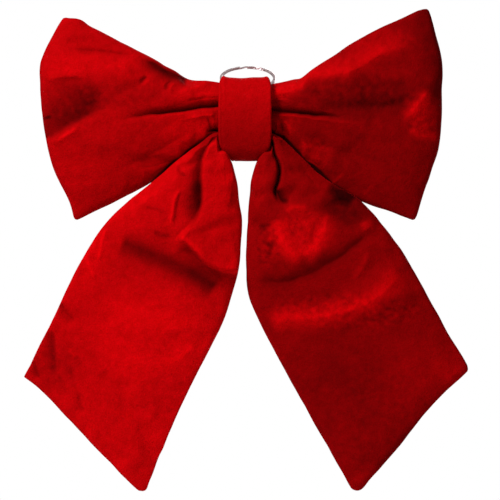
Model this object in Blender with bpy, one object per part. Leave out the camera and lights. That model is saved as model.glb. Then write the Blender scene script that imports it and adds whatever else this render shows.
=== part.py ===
"""Padded velvet gift bow with two tails and a split ring for hanging.

The bow hangs upright with its front towards -Y and +Z up. The origin is the middle
of the flat back of the knot, which lies against a door, a wreath or a gift.
Sizes are in millimetres here; build_mesh turns them into metres.
"""

import math

import bmesh
import bpy
from mathutils import Matrix, Vector

MM = 0.001

# Fabric and the room between neighbouring pieces.
VELVET = 1.4
GAP = 0.4
WADDING_GAP = 0.6
LOOP_WADDING_GAP = 1.6
LOOP_WADDING_U = (0.03, 0.97)
LOOP_WADDING_V = (0.07, 0.93)
TAIL_WADDING_S = (0.02, 0.97)
TAIL_WADDING_T = (0.11, 0.89)
THINNEST = 0.1

# Faces along and across each piece.
LOOP_GRID = (38, 11)
LOOP_WADDING_GRID = (36, 8)
TAIL_GRID = (24, 8)
TAIL_WADDING_GRID = (20, 6)
GATHER_GRID = (12, 8)
BAND_GRID = (64, 4)
KNOT_PADDING_GRID = (12, 4)
GIRDLE_POINTS = 32

# Loops: one padded case, gathered in the middle to make a left and a right lobe.
LOOP_MID_Y = -20.0
LOBE_FRONT = 14.0
LOBE_BACK = 12.0
NECK_FRONT = 6.4
NECK_BACK = 4.6
NECK_TOP = 15.0
NECK_BOTTOM = -9.0
OUTER_BULGE_FROM = 0.35
FRONT_RISE = (0.05, 0.6)
BACK_RISE = (0.08, 0.6)
LOOP_ROUNDING = 2.2
LOOP_END_ROUNDING = 5
FULLNESS = 0.6
PRESSED = (0.8, 0.55)
PRESS = 0.85
GIRDLE_CORNERS = 1.2
THREAD_WIDTH = 5.0
THREAD_DEPTH = 1.0

# Tails: padded strips, pleated where they come out of the knot. Each one swings
# about a level line below the knot.
HINGE_Z = -31.0
HINGE_ROOM = 1.4
TAIL_TOP_Y = -29.0
TAIL_END_Y = -14.0
TAIL_START_Y = -24.6
TAIL_FRONT = 5.6
TAIL_END_FRONT = 2.4
TAIL_BACK_SHARE = 0.5
TAIL_END_ROUNDING = 14
TAIL_ROUNDING = 2.6
TAIL_RISE_ZS = (-7, -13)
TAIL_FALL_ZS = (-45, -170)
TAIL_THINNING_ZS = (-60, -180)
TAIL_FOLD_SHARE = 0.12
TAIL_FOLD_REACH = 14
TAIL_HELD_SHARE = 0.2
TAIL_HELD_ZS = (-18, -27)

# Knot: a folded strip of velvet, wrapped once round the middle and closed at the back.
BAND = 2.2
KNOT_PADDING = 1.2
CORE_HALF_WIDTH = 10.6
STITCH_Y = -2.2
STITCH_Z = -18.2
STITCH_REACH = 9.0
STITCH_RISE = 1.2
STITCHES = 9
STITCH_THREAD = 0.35
STITCH_FLATNESS = 1.6

# Split ring: flat wire wound twice, threaded on the band where the band turns
# down behind the knot. The wire steps from one layer to the other near the ring's top.
RING_RADIUS = 15.2
RING_WIRE_WIDTH = 1.5
RING_WIRE_THICKNESS = 0.7
RING_PITCH = 1.0
RING_STEPS = 80
RING_STEP_ANGLE = math.radians(8)
RING_STEP_PLACE = math.radians(171)
RING_LEAN_DEG = 26.0
RING_TO_BAND = 5.2
RING_SIDEWAYS = 1.5
RING_HINGE = (0.0, -4.2, 21.3)
RING_SECTION = ((-1, -0.5), (-0.6, -1), (0.6, -1), (1, -0.5), (1, 0.5), (0.6, 1), (-0.6, 1), (-1, 0.5))

# Outlines as (x, z) points that a smooth curve runs through, from the knot outwards.
LEFT_LOOP = {
    "top": [(0, NECK_TOP), (-14, 19), (-31, 22.2), (-40, 27), (-62, 40.2), (-86, 51.8), (-101.5, 56.4)],
    "bottom": [(0, NECK_BOTTOM), (-14, -12), (-24, -18), (-36, -25.8), (-54, -36.8), (-73, -46.6),
               (-95, -56.8)],
    "outer": [(-95, -56.8), (-103.8, -37), (-110, -18), (-114, 6), (-115.2, 27), (-110.6, 42),
              (-101.5, 56.4)],
}
RIGHT_LOOP = {
    "top": [(0, NECK_TOP), (15, 19), (31, 22.6), (42, 30.4), (62, 43.2), (84, 54.6), (102, 60.8)],
    "bottom": [(0, NECK_BOTTOM), (14, -12), (24, -19), (34, -27), (47, -36.4), (68, -46.8), (94.6, -56.8)],
    "outer": [(94.6, -56.8), (101.8, -38), (108.4, -16), (110.6, 4), (110.8, 28), (108, 44), (102, 60.8)],
}
LEFT_TAIL = {
    "inner": [(-6, HINGE_Z - HINGE_ROOM), (-4.3, -38), (-2.4, -50), (-1.8, -66), (-4, -86), (-10.4, -108.6),
              (-21.6, -133), (-33.6, -157), (-45, -182.4), (-56, -210)],
    "outer": [(-47.6, HINGE_Z - HINGE_ROOM), (-56, -39), (-69, -50.4), (-80.6, -62.8), (-91.2, -80),
              (-101, -98.6), (-112, -121.4), (-124.3, -145.6)],
}
RIGHT_TAIL = {
    "inner": [(4.6, HINGE_Z - HINGE_ROOM), (3.2, -38), (2.2, -50), (1.2, -68), (0.9, -85), (2.8, -101),
              (10, -117.6), (23, -142), (37, -167.6), (50, -190.4), (62.7, -209.4)],
    "outer": [(42.6, HINGE_Z - HINGE_ROOM), (52, -38.8), (64, -46.4), (76, -58.8), (86, -72), (95.2, -87),
              (105, -104.2), (115.6, -122.4), (125.4, -140)],
}
LEFT_GATHER = {
    "inner": [(-3.2, -16.4), (-8, -17.6), (-12.2, -20.2), (-13, -23.6), (-11, -27),
              (-7, HINGE_Z + HINGE_ROOM)],
    "outer": [(-3.2, -12), (-14, -10.6), (-23, -11.8), (-33, -18.8), (-44.8, HINGE_Z + HINGE_ROOM)],
}
RIGHT_GATHER = {
    "inner": [(3.2, -16.4), (8, -17.6), (12.2, -20.2), (13, -23.6), (10.6, -27),
              (5.4, HINGE_Z + HINGE_ROOM)],
    "outer": [(3.2, -12), (14, -10.8), (22, -12.6), (31, -20.8), (40, HINGE_Z + HINGE_ROOM)],
}

# The band's middle surface as (y, z, half its width) points, from its inner end
# round the front to its outer end.
BAND_PATH = [
    (-3.7, -2, 11.5), (-3.7, -13, 11.2), (-5.6, -19.6, 9.6), (-11, -22.4, 8.4), (-20, -22.6, 8.2),
    (-28, -22.6, 8.6), (-32.6, -21, 10.4), (-35, -17.6, 12.8), (-36.2, -11, 14.6), (-36.6, -3, 14.8),
    (-36.4, 4, 14.8), (-35.2, 12, 14.7), (-32, 18.4, 14.2), (-26, 21.6, 13.2), (-18, 22, 12),
    (-12, 22, 11), (-6, 21.9, 10.2), (-2.4, 20.4, 9.9), (-1.1, 16.6, 10.4), (-1.1, 10, 11.4),
    (-1.1, -4, 12), (-1.1, -15, 11.6),
]
KNOT_PADDING_SPAN = (0.37, 0.5)

# The core's outline as (y, z) points, and how it draws in towards its two ends, as
# (share of the half width, share of the outline's size) steps.
CORE_OUTLINE = [
    (-6.4, 9), (-5.3, 7), (-5.3, -13), (-7, -17.4), (-11.4, -20.6), (-14, -21), (-24, -21), (-25.2, -19.4),
    (-25.2, -14.4), (-24, -12.9), (-13.4, -12.9), (-11.4, -11), (-11.4, 7), (-10, 9),
]
CORE_CENTRE = (-11.4, -12.9)
CORE_STEPS = ((-1, 0.82), (-0.9, 0.94), (-0.7, 1), (0.7, 1), (0.9, 0.94), (1, 0.82))

RED = (0.5, 0.003, 0.008, 1)
DARK_RED = (0.25, 0.002, 0.004, 1)
WHITE = (0.85, 0.84, 0.8, 1)
STEEL = (0.62, 0.6, 0.6, 1)


def clear_scene():
    for found in list(bpy.data.objects):
        bpy.data.objects.remove(found)


def material(name, colour, roughness, metallic=0.0):
    made = bpy.data.materials.new(name)
    made.use_nodes = True
    shader = made.node_tree.nodes["Principled BSDF"]
    shader.inputs["Base Color"].default_value = colour
    shader.inputs["Roughness"].default_value = roughness
    shader.inputs["Metallic"].default_value = metallic
    return made


def smoothstep(low, high, value):
    share = min(1.0, max(0.0, (value - low) / (high - low)))
    return share * share * (3 - 2 * share)


def mix(a, b, share):
    return a + (b - a) * share


class SmoothPath:
    """A smooth curve through the points given, read by its share of length from 0 to 1."""

    STEPS = 10

    def __init__(self, points):
        knots = [Vector(point) for point in points]
        before = knots[0] * 2 - knots[1]
        after = knots[-1] * 2 - knots[-2]
        ring = [before, *knots, after]
        self.line = [knots[0]]
        for a, b, c, d in zip(ring, ring[1:], ring[2:], ring[3:]):
            for step in range(1, self.STEPS + 1):
                self.line.append(self.between(a, b, c, d, step / self.STEPS))
        self.along = [0.0]
        for a, b in zip(self.line, self.line[1:]):
            self.along.append(self.along[-1] + (b - a).length)

    @staticmethod
    def between(a, b, c, d, t):
        """The Catmull-Rom curve from b to c."""
        square = a * 2 - b * 5 + c * 4 - d
        cube = b * 3 - a - c * 3 + d
        return (b * 2 + (c - a) * t + square * t**2 + cube * t**3) / 2

    def at(self, share):
        want = share * self.along[-1]
        index = next((i for i, far in enumerate(self.along[1:]) if far >= want), len(self.line) - 2)
        span = self.along[index + 1] - self.along[index]
        return self.line[index].lerp(self.line[index + 1], (want - self.along[index]) / span)


def build_mesh(name, bm, finish, origin=(0, 0, 0), smooth_angle=40):
    """Turn a mesh in millimetres into an object in metres with its origin at the point given."""
    bmesh.ops.recalc_face_normals(bm, faces=bm.faces)
    if bm.calc_volume(signed=True) < 0:
        bmesh.ops.reverse_faces(bm, faces=bm.faces)
    bmesh.ops.translate(bm, vec=-Vector(origin), verts=bm.verts)
    bmesh.ops.scale(bm, vec=(MM, MM, MM), verts=bm.verts)
    mesh = bpy.data.meshes.new(name)
    bm.to_mesh(mesh)
    bm.free()
    mesh.materials.append(finish)
    mesh.shade_smooth()
    mesh.set_sharp_from_angle(angle=math.radians(smooth_angle))
    made = bpy.data.objects.new(name, mesh)
    made.location = Vector(origin) * MM
    bpy.context.scene.collection.objects.link(made)
    return made


def slab(name, near, far, counts, finish, origin=(0, 0, 0)):
    """A closed solid between two surfaces, each a function of (u, v) from 0 to 1."""
    bm = bmesh.new()
    bmesh.ops.create_grid(bm, x_segments=counts[0], y_segments=counts[1], size=0.5)
    front = list(bm.verts)
    pushed = bmesh.ops.extrude_face_region(bm, geom=list(bm.faces), use_keep_orig=True)
    back = [item for item in pushed["geom"] if isinstance(item, bmesh.types.BMVert)]
    for verts, surface in ((front, near), (back, far)):
        for vert in verts:
            vert.co = surface(vert.co.x + 0.5, vert.co.y + 0.5)
    return build_mesh(name, bm, finish, origin)


def swept(name, sections, finish, origin=(0, 0, 0)):
    """A solid skinned over a row of sections, each a loop of points, with flat ends."""
    bm = bmesh.new()
    loops = [[bm.verts.new(point) for point in section] for section in sections]
    for first, second in zip(loops, loops[1:]):
        for a, b, c, d in zip(first, first[1:] + first[:1], second[1:] + second[:1], second):
            bm.faces.new((a, b, c, d))
    bm.faces.new(loops[0])
    bm.faces.new(loops[-1])
    return build_mesh(name, bm, finish, origin)


# ---- Loops ----

class Loops:
    """The loops' surface: u runs from the left outer edge to the right one, v from bottom to top."""

    def __init__(self):
        outlines = (LEFT_LOOP, RIGHT_LOOP)
        self.sides = [{key: SmoothPath(line) for key, line in side.items()} for side in outlines]

    def flat(self, u, v):
        """The place in the case's own plane and how far out from the middle it is."""
        side = self.sides[0] if u < 0.5 else self.sides[1]
        out = abs(2 * u - 1)
        chord = side["outer"].at(0).lerp(side["outer"].at(1), v)
        bulge = (side["outer"].at(v) - chord) * smoothstep(OUTER_BULGE_FROM, 1, out)
        return side["bottom"].at(out).lerp(side["top"].at(out), v) + bulge, out

    @staticmethod
    def round_off(v, out):
        """How full the case is between its seams."""
        across = max(0.0, 1 - abs(2 * v - 1) ** LOOP_ROUNDING) ** FULLNESS
        return across * max(0.0, 1 - out**LOOP_END_ROUNDING) ** 0.5

    def front_crown(self, v, out):
        """The tails press on the inner lower part of the lobes."""
        depth = mix(NECK_FRONT, LOBE_FRONT, smoothstep(*FRONT_RISE, out))
        pressed = smoothstep(*PRESSED, 0.9 * out + v) * smoothstep(0.05, 0.15, out)
        return depth * self.round_off(v, out) * (1 - PRESS * pressed)

    def back_crown(self, v, out):
        return mix(NECK_BACK, LOBE_BACK, smoothstep(*BACK_RISE, out)) * self.round_off(v, out)

    def skin(self, side, depth):
        """The surface that lies depth inside the front (side -1) or back (side 1) of the case."""
        crown = self.front_crown if side < 0 else self.back_crown

        def place(u, v):
            (x, z), out = self.flat(u, v)
            return Vector((x, LOOP_MID_Y + side * (GAP / 2 + VELVET + crown(v, out) - depth), z))

        return place

    def wadding(self, side):
        """The padding's surface, kept clear of the seams and of the cover."""
        crown = self.front_crown if side < 0 else self.back_crown

        def place(u, v):
            v = mix(*LOOP_WADDING_V, v)
            (x, z), out = self.flat(mix(*LOOP_WADDING_U, u), v)
            return Vector((x, LOOP_MID_Y + side * max(THINNEST, crown(v, out) - LOOP_WADDING_GAP), z))

        return place

    @staticmethod
    def girdle(away, x):
        """Points round the gathered middle, that far outside it."""
        middle = (NECK_TOP + NECK_BOTTOM) / 2
        half = (NECK_TOP - NECK_BOTTOM) / 2 + away
        points = []
        for step in range(GIRDLE_POINTS):
            angle = math.tau * step / GIRDLE_POINTS
            depth = NECK_FRONT if math.sin(angle) < 0 else NECK_BACK
            y = LOOP_MID_Y + math.sin(angle) * (depth + VELVET + GAP / 2 + away)
            z = middle + math.cos(angle) * (half + GIRDLE_CORNERS * abs(math.sin(2 * angle)))
            points.append(Vector((x, y, z)))
        return points


def make_gather_thread(loops, thread):
    """The windings of thread that draw the middle of the case together."""
    bm = bmesh.new()
    half = THREAD_WIDTH / 2
    inside, outside = 2 * GAP, 2 * GAP + THREAD_DEPTH
    corners = ((inside, -half), (inside, half), (outside, half), (outside, -half))
    rings = [[bm.verts.new(point) for point in loops.girdle(away, x)] for away, x in corners]
    for first, second in zip(rings, rings[1:] + rings[:1]):
        for a, b, c, d in zip(first, first[1:] + first[:1], second[1:] + second[:1], second):
            bm.faces.new((a, b, c, d))
    build_mesh("gather_thread", bm, thread)


def make_loops(velvet, wadding, thread):
    loops = Loops()
    slab("loop_front_panel", loops.skin(-1, 0), loops.skin(-1, VELVET), LOOP_GRID, velvet)
    slab("loop_back_panel", loops.skin(1, 0), loops.skin(1, VELVET), LOOP_GRID, velvet)
    slab("loop_padding", loops.wadding(-1), loops.wadding(1), LOOP_WADDING_GRID, wadding)
    make_gather_thread(loops, thread)


# ---- Tails ----

def tail_middle_y(z):
    rise = smoothstep(*TAIL_RISE_ZS, z)
    fall = smoothstep(*TAIL_FALL_ZS, z)
    return mix(mix(TAIL_START_Y, TAIL_TOP_Y, rise), TAIL_END_Y, fall)


def tail_crown(z, t):
    """The tail thins at its edges and where it folds forward."""
    depth = mix(TAIL_FRONT, TAIL_END_FRONT, smoothstep(*TAIL_THINNING_ZS, z))
    from_fold = abs(z - HINGE_Z) - HINGE_ROOM
    fold = mix(TAIL_FOLD_SHARE, 1, smoothstep(0, TAIL_FOLD_REACH, from_fold))
    across = max(0.0, 1 - abs(2 * t - 1) ** TAIL_ROUNDING) ** FULLNESS
    held = mix(TAIL_HELD_SHARE, 1, smoothstep(*TAIL_HELD_ZS, z))
    return depth * fold * held * across


class Tail:
    """A stretch of tail: s runs from the knot to the end, t from the inner to the outer edge."""

    def __init__(self, outline, rounded_end):
        self.inner = SmoothPath(outline["inner"])
        self.outer = SmoothPath(outline["outer"])
        self.rounded_end = rounded_end

    def surface(self, side, extra, s_range=(0, 1), t_range=(0, 1)):
        """The front (side -1) or back (side 1) of the crown, moved out by the extra thickness."""
        share = 1 if side < 0 else TAIL_BACK_SHARE

        def place(s, t):
            s, t = mix(*s_range, s), mix(*t_range, t)
            x, z = self.inner.at(s).lerp(self.outer.at(s), t)
            crown = share * tail_crown(z, t)
            if self.rounded_end:
                crown *= max(0.0, 1 - s**TAIL_END_ROUNDING) ** 0.5
            return Vector((x, tail_middle_y(z) + side * max(THINNEST, crown + extra), z))

        return place


def make_tail(side, outline, velvet, wadding):
    tail = Tail(outline, rounded_end=True)
    hinge = (outline["inner"][0][0] / 2 + outline["outer"][0][0] / 2, TAIL_TOP_Y, HINGE_Z)
    outside, inside = GAP / 2 + VELVET, GAP / 2
    for face, name in ((-1, "front"), (1, "back")):
        near, far = tail.surface(face, outside), tail.surface(face, inside)
        slab(f"{side}_tail_{name}_panel", near, far, TAIL_GRID, velvet, hinge)
    within = {"s_range": TAIL_WADDING_S, "t_range": TAIL_WADDING_T}
    near, far = tail.surface(-1, -WADDING_GAP, **within), tail.surface(1, -WADDING_GAP, **within)
    slab(f"{side}_tail_padding", near, far, TAIL_WADDING_GRID, wadding, hinge)


def make_tail_gather(side, outline, velvet):
    """The pleated top of a tail, held still in the knot."""
    gather = Tail(outline, rounded_end=False)
    solid = GAP / 2 + VELVET
    near, far = gather.surface(-1, solid), gather.surface(1, solid)
    slab(f"{side}_tail_gather", near, far, GATHER_GRID, velvet)


# ---- Knot ----

class Band:
    """The band's middle surface: s runs from its inner end to its outer end."""

    STEP = 0.004

    def __init__(self):
        self.path = SmoothPath(BAND_PATH)

    def surface(self, away, s_range=(0, 1), inset=0.0):
        def place(s, t):
            s = mix(*s_range, s)
            y, z, half = self.path.at(s)
            ahead, behind = self.path.at(min(1, s + self.STEP)), self.path.at(max(0, s - self.STEP))
            along = Vector((ahead.x - behind.x, ahead.y - behind.y)).normalized()
            x = mix(inset - half, half - inset, t)
            return Vector((x, y - along.y * away, z + along.x * away))

        return place


def make_knot(velvet, wadding, thread):
    band = Band()
    slab("knot_band", band.surface(BAND / 2), band.surface(-BAND / 2), BAND_GRID, velvet)
    near = -BAND / 2 - GAP
    span = {"s_range": KNOT_PADDING_SPAN, "inset": 2.0}
    padding = band.surface(near, **span), band.surface(near - KNOT_PADDING, **span)
    slab("knot_padding", *padding, KNOT_PADDING_GRID, wadding)
    make_stitching(thread)


def make_core(velvet):
    """The ribbon's spare ends, rolled up behind and below the gathered loops."""
    middle = Vector(CORE_CENTRE)
    sections = []
    for across, size in CORE_STEPS:
        section = []
        for point in CORE_OUTLINE:
            y, z = middle + size * (Vector(point) - middle)
            section.append(Vector((across * CORE_HALF_WIDTH, y, z)))
        sections.append(section)
    swept("knot_core", sections, velvet)


def make_stitching(thread):
    """One thread that laces the band's outer end down, just below that end."""
    sections = []
    for i in range(STITCHES + 1):
        share = 2 * i / STITCHES - 1
        x, z = share * STITCH_REACH, STITCH_Z + STITCH_RISE * (-1) ** i
        section = []
        for y_step, z_step in ((-1, -1), (1, -1), (1, 1), (-1, 1)):
            rise = STITCH_FLATNESS * z_step * STITCH_THREAD
            section.append(Vector((x, STITCH_Y + y_step * STITCH_THREAD, z + rise)))
        sections.append(section)
    swept("knot_stitching", sections, thread)


# ---- Ring ----

def make_ring(steel):
    """The ring leans back and up from the band; its inner arc lies in the knot."""
    half_width, half_thick = RING_WIRE_WIDTH / 2, RING_WIRE_THICKNESS / 2
    lean = Matrix.Rotation(math.radians(RING_LEAN_DEG), 3, "X")
    middle = Vector(RING_HINGE) + Vector((RING_SIDEWAYS, 0, 0))
    sections = []
    for i in range(RING_STEPS + 1):
        turn = mix(RING_STEP_ANGLE, 2 * math.tau - RING_STEP_ANGLE, i / RING_STEPS)
        layer = smoothstep(math.tau - RING_STEP_ANGLE, math.tau + RING_STEP_ANGLE, turn)
        height = RING_PITCH * (layer - 0.5)
        angle = turn + RING_STEP_PLACE
        section = []
        for across, up in RING_SECTION:
            radius = RING_RADIUS + across * half_width
            y = RING_TO_BAND - radius * math.cos(angle)
            place = Vector((-radius * math.sin(angle), y, height + up * half_thick))
            section.append(middle + lean @ place)
        sections.append(section)
    swept("split_ring", sections, steel, RING_HINGE)


# ---- The whole bow ----

def make_bow():
    velvet = material("velvet", RED, 0.85)
    folded = material("folded_velvet", RED, 0.9)
    wadding = material("wadding", WHITE, 1.0)
    thread = material("thread", DARK_RED, 0.7)
    steel = material("steel", STEEL, 0.25, 1.0)
    make_loops(velvet, wadding, thread)
    make_tail("left", LEFT_TAIL, velvet, wadding)
    make_tail("right", RIGHT_TAIL, velvet, wadding)
    make_tail_gather("left", LEFT_GATHER, folded)
    make_tail_gather("right", RIGHT_GATHER, folded)
    make_knot(velvet, wadding, thread)
    make_core(folded)
    make_ring(steel)


clear_scene()
make_bow()
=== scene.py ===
"""Velvet gift bow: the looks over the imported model.

Lengths are in millimetres until a mesh is made. The bow's front faces -Y and +Z is up.
"""

import math

import bmesh
import bpy
import numpy as np
from mathutils import Matrix, Vector, noise


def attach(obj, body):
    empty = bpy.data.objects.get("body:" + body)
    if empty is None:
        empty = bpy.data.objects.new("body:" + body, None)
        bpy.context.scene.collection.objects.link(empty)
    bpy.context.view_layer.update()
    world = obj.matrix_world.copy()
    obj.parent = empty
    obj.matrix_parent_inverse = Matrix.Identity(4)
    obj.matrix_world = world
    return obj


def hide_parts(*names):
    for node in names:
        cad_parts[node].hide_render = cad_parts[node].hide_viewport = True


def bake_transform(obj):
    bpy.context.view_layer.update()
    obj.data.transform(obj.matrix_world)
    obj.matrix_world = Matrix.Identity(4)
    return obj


MM = 0.001

# Loops: y of their middle surface, how deep they are in front of it and behind it in the
# lobes and at the neck, and z of the neck's top and bottom. A relief is (depth, size of its
# bumps). A rise or an opening is (where it begins, where it ends) as a share of the way out
# from the knot; an opening begins a little early, so that no row of points falls together.
LOOP_GRID = (200, 152)
LOOP_ROUNDING = 2.4
LOOP_END_ROUNDING = 8
LOOP_OPENING = (-0.001, 0.03)
LOOP_FRONT_RELIEF = (0.7, 22)
LOOP_FINE_RELIEF = (0.3, 7)
LOOP_BACK_RELIEF = (1.0, 20)
LOOP_MID_Y = -20.0
LOBE_FRONT = 14.0
LOBE_BACK = 12.5
NECK_FRONT = 13.4
NECK_BACK = 8.0
NECK_TOP = 15.0
NECK_BOTTOM = -9.0
FRONT_RISE = (0.05, 0.55)
BACK_RISE = (0.08, 0.6)

# Where a tail lies over a loop: the room in front of the loop's middle surface, how that grows
# away from the tail's edge, the dent beside the edge, and the painted shadow along it.
UNDER_TAIL = 7.6
TAIL_REST_SLOPE = 0.24
TAIL_REST_FROM = -4
TAIL_DENT = 1.2
EDGE_SHADOW = 0.6
EDGE_SHADOW_WIDTH = 0.9
SOFT_SHADOW = 0.1
SOFT_SHADOW_WIDTH = 3

# Tails: y of their middle surface at the top and at the slanted end, how deep they are in
# front of it and behind it, and how thin they are where the band hides them.
TAIL_GRID = (260, 132)
TAIL_ROUNDING = 3
TAIL_END_ROUNDING = 24
TAIL_OPENING = (-0.001, 0.02)
TAIL_FRONT_RELIEF = (0.6, 24)
TAIL_FINE_RELIEF = (0.3, 8)
TAIL_BACK_RELIEF = (0.5, 20)
UNDER_BAND = 2.4
HIDDEN_XS = (15.4, 13.8)
HIDDEN_ZS = (-21, -18)
TAIL_THINNING_ZS = (-70, -180)
TAIL_MIDDLE = (-30.5, -14.0)
TAIL_MIDDLE_ZS = (-40.0, -170.0)
TAIL_FRONT = 7.5
TAIL_END_FRONT = 4.2
TAIL_BACK = 4.4

# Knot band, and the core inside it. The rucks across the band's top are (x, width, height).
# The core shrinks towards its centre, (y, z), at both ends.
BAND = 2.2
BAND_LENGTHWISE = 260
BAND_FLAT_POINTS = 41
BAND_BEND_POINTS = 11
BAND_SHADE_ZS = (18, -20)
BAND_LOOK_AHEAD = 0.004
BAND_UNEVENNESS = 0.25
BAND_TOP_Z = 21
BAND_TOP_REACH = 3
BAND_RUCKS = ((-12, 1.6, 0.9), (-2, 4, -0.5), (12.4, 1.6, 0.5))
BAND_SEAM_FROM_EDGE = 1.9
BAND_SEAM_WIDTH = 0.35
BAND_SEAM_DEPTH = 0.35
CORE_GRID = (40, 120)
CORE_END_SIZE = 0.8
CORE_ROUNDING = 8
CORE_HALF_WIDTH = 10.8
CORE_CENTRE = (-11.4, -12.9)
CORE_SHADE = 0.8

# Split ring: two turns of flat wire.
RING_GRID = (300, 16)
RING_RADIUS = 15.2
RING_WIRE_WIDTH = 1.4
RING_WIRE_THICKNESS = 0.66
RING_PITCH = 0.72
RING_STEP_ANGLE = math.radians(8)
RING_STEP_PLACE = math.radians(171)
RING_LEAN_DEG = 28.0
RING_TO_BAND = 5.4
RING_HINGE = (0.0, -4.2, 21.3)
RING_SIDEWAYS = 1.5

# Folds, uneven edges, and painted shade, from 0 to 1: how far the velvet's colour is darkened to stand in
# for shade and shadow. The right-hand pieces are painted darker than the left-hand ones, and the knot
# darker towards its bottom.
FOLD_SOFTNESS = 0.15
FOLD_FALL = 1.3
FADE_MARGIN = 0.001
EDGE_WAVE = 0.18
EDGE_WAVE_SIZE = 9
EDGE_WAVE_FROM_KNOT = (8, 24)
PILE_WARP = 0.5
STREAK_SLANT = 0.6
STREAK_SIZE = 3.4
SPOT_SIZE = 1.6
PATCH_EDGE = (1.3, 0.5)
BACK_SHADE = 0.38
BACK_FOLDS = 0.6
BACK_FOLD_LIMIT = 0.8
BACK_FOLD_SHADE = 0.12
LEFT_LOOP_SHADE = 0.42
RIGHT_LOOP_SHADE = 0.7
LEFT_TAIL_SHADE = 0.3
RIGHT_TAIL_SHADE = 0.67
KNOT_TOP_SHADE = 0.38
KNOT_BOTTOM_SHADE = 0.6

# Seeds of each case's random relief.
LEFT_LOOP_SEED = 3.1
RIGHT_LOOP_SEED = 7.7
LEFT_TAIL_SEED = 12.3
RIGHT_TAIL_SEED = 17.9

# Cloth simulation on every fourth grid line of a case.
CLOTH_STEP = 4
CLOTH_FRAMES = 14
CLOTH_LIMIT = 1.0
CLOTH_HELD_COLUMNS = 3
CLOTH_SHRINK = -0.06
CLOTH_PRESSURE = 4
CLOTH_STIFFNESS = 12
CLOTH_BENDING = 0.05
CLOTH_MASS = 0.1
CLOTH_QUALITY = 6

# Camera, lights as (name, place, size, power in watts), and floor.
CAMERA_DISTANCE = 1500.0
CAMERA_AIM = (2.8, -25.0, -73.9)
FRAME_WIDTH = 280.0
SENSOR = 36.0
LIGHT_AIM = (0, -20, -60)
LIGHTS = (
    ("key_light", (-800, -800, 960), 480, 25),
    ("fill_light", (500, -1300, 0), 900, 2.4),
    ("back_light", (400, 1300, 500), 900, 12),
)
WORLD_LIGHT = 0.16
WORLD_GLOSS = 0.35
FLOOR_RADIUS = 320.0
FLOOR_SEGMENTS = 96
FLOOR_PLACE = (0, -20, -270)
FLOOR_COLOUR = (0.86, 0.86, 0.85, 1)

# Outlines as (x, z) points that a smooth curve runs through: two sides from the knot outwards,
# and the far end that joins them, run from bottom to top or from the inner to the outer side.
LEFT_LOOP = {
    "top": [(0, NECK_TOP), (-8, 17.4), (-14, 19.8), (-20, 20.8), (-31, 22.2), (-40, 27), (-55, 35.5),
            (-80, 48.4), (-87, 52), (-92.4, 55.6), (-100.5, 56.8)],
    "bottom": [(0, NECK_BOTTOM), (-14, -12), (-24, -18), (-36, -25.8), (-54, -36.8), (-73, -46.8),
               (-91.6, -55.8), (-94.5, -57)],
    "outer": [(-94.5, -57), (-96.2, -55.6), (-99, -46.5), (-107.5, -28), (-112, -10), (-114.4, 8),
              (-115.2, 27), (-113.2, 36), (-108, 46.4), (-102.9, 55.6), (-100.5, 56.8)],
}
RIGHT_LOOP = {
    "top": [(0, NECK_TOP), (8, 17.2), (15.8, 19.4), (27, 22), (31.2, 22.8), (36.4, 26.5), (53.2, 37.7),
            (70, 47.8), (85, 54.9), (96.2, 60.1), (99.6, 61.1)],
    "bottom": [(0, NECK_BOTTOM), (14, -12), (24, -19), (34, -27), (47, -37), (63.3, -45.6), (82, -52.4),
               (92.4, -56.4)],
    "outer": [(92.4, -56.4), (94.2, -57.1), (96.2, -55.3), (99.9, -44.1), (104.6, -29.1), (108.8, -16.1),
              (110.3, 0.7), (110.7, 14), (110.5, 32.5), (107.4, 45.5), (103.4, 60), (99.6, 61.1)],
}
LEFT_TAIL = {
    "inner": [(-4, -14.4), (-11.6, -13), (-13.8, -14.2), (-12.6, -18), (-9.4, -21.8), (-6.6, -28),
              (-4.4, -36), (-3.2, -45), (-1.8, -57.1), (-2.1, -70.2), (-3.4, -83.3), (-6.8, -97.4),
              (-12.2, -113.4), (-18.6, -127), (-31.8, -153.4), (-43, -177.6), (-54.2, -205)],
    "outer": [(-4, -11), (-13, -8.8), (-18.4, -9.4), (-24.3, -13.6), (-35.4, -21.7), (-44.8, -30),
              (-53.2, -36.9), (-65.4, -47), (-78.4, -59.9), (-89.6, -76.7), (-99, -94.5),
              (-108.2, -114.1), (-117.6, -132.7), (-123.6, -143.9)],
    "end": [(-54.2, -205), (-55.6, -209), (-58.8, -209.8), (-63.4, -206.7), (-84, -185.8),
            (-104.6, -164), (-114.8, -153.4), (-122.6, -147), (-124.4, -145.4), (-123.6, -143.9)],
}
RIGHT_TAIL = {
    "inner": [(4, -14.4), (11.6, -13), (13.6, -14), (11, -19), (7.2, -24.4), (4.9, -30.1),
              (3.4, -36.6), (2.5, -45), (1.7, -55), (1, -70), (0.8, -85), (2.2, -99.5), (8.2, -114),
              (15, -127.4), (28, -151.3), (43, -178.4), (58.6, -206)],
    "outer": [(4, -11), (13, -9), (18.6, -10.4), (22.6, -13.2), (31.8, -22), (39.2, -29.4), (45.8, -34.6),
              (52, -38.6), (58.8, -42.6), (64.4, -46.4), (71, -53), (78.4, -61.8), (86.8, -73),
              (95.2, -87), (106.4, -106.6), (117.6, -126.2), (125.2, -138.6)],
    "end": [(58.6, -206), (60.4, -208.6), (63.6, -209.6), (66.6, -208), (71.6, -202), (87.8, -183.5),
            (104.6, -162.6), (122.8, -144.6), (125.4, -141.6), (125.2, -138.6)],
}
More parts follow.
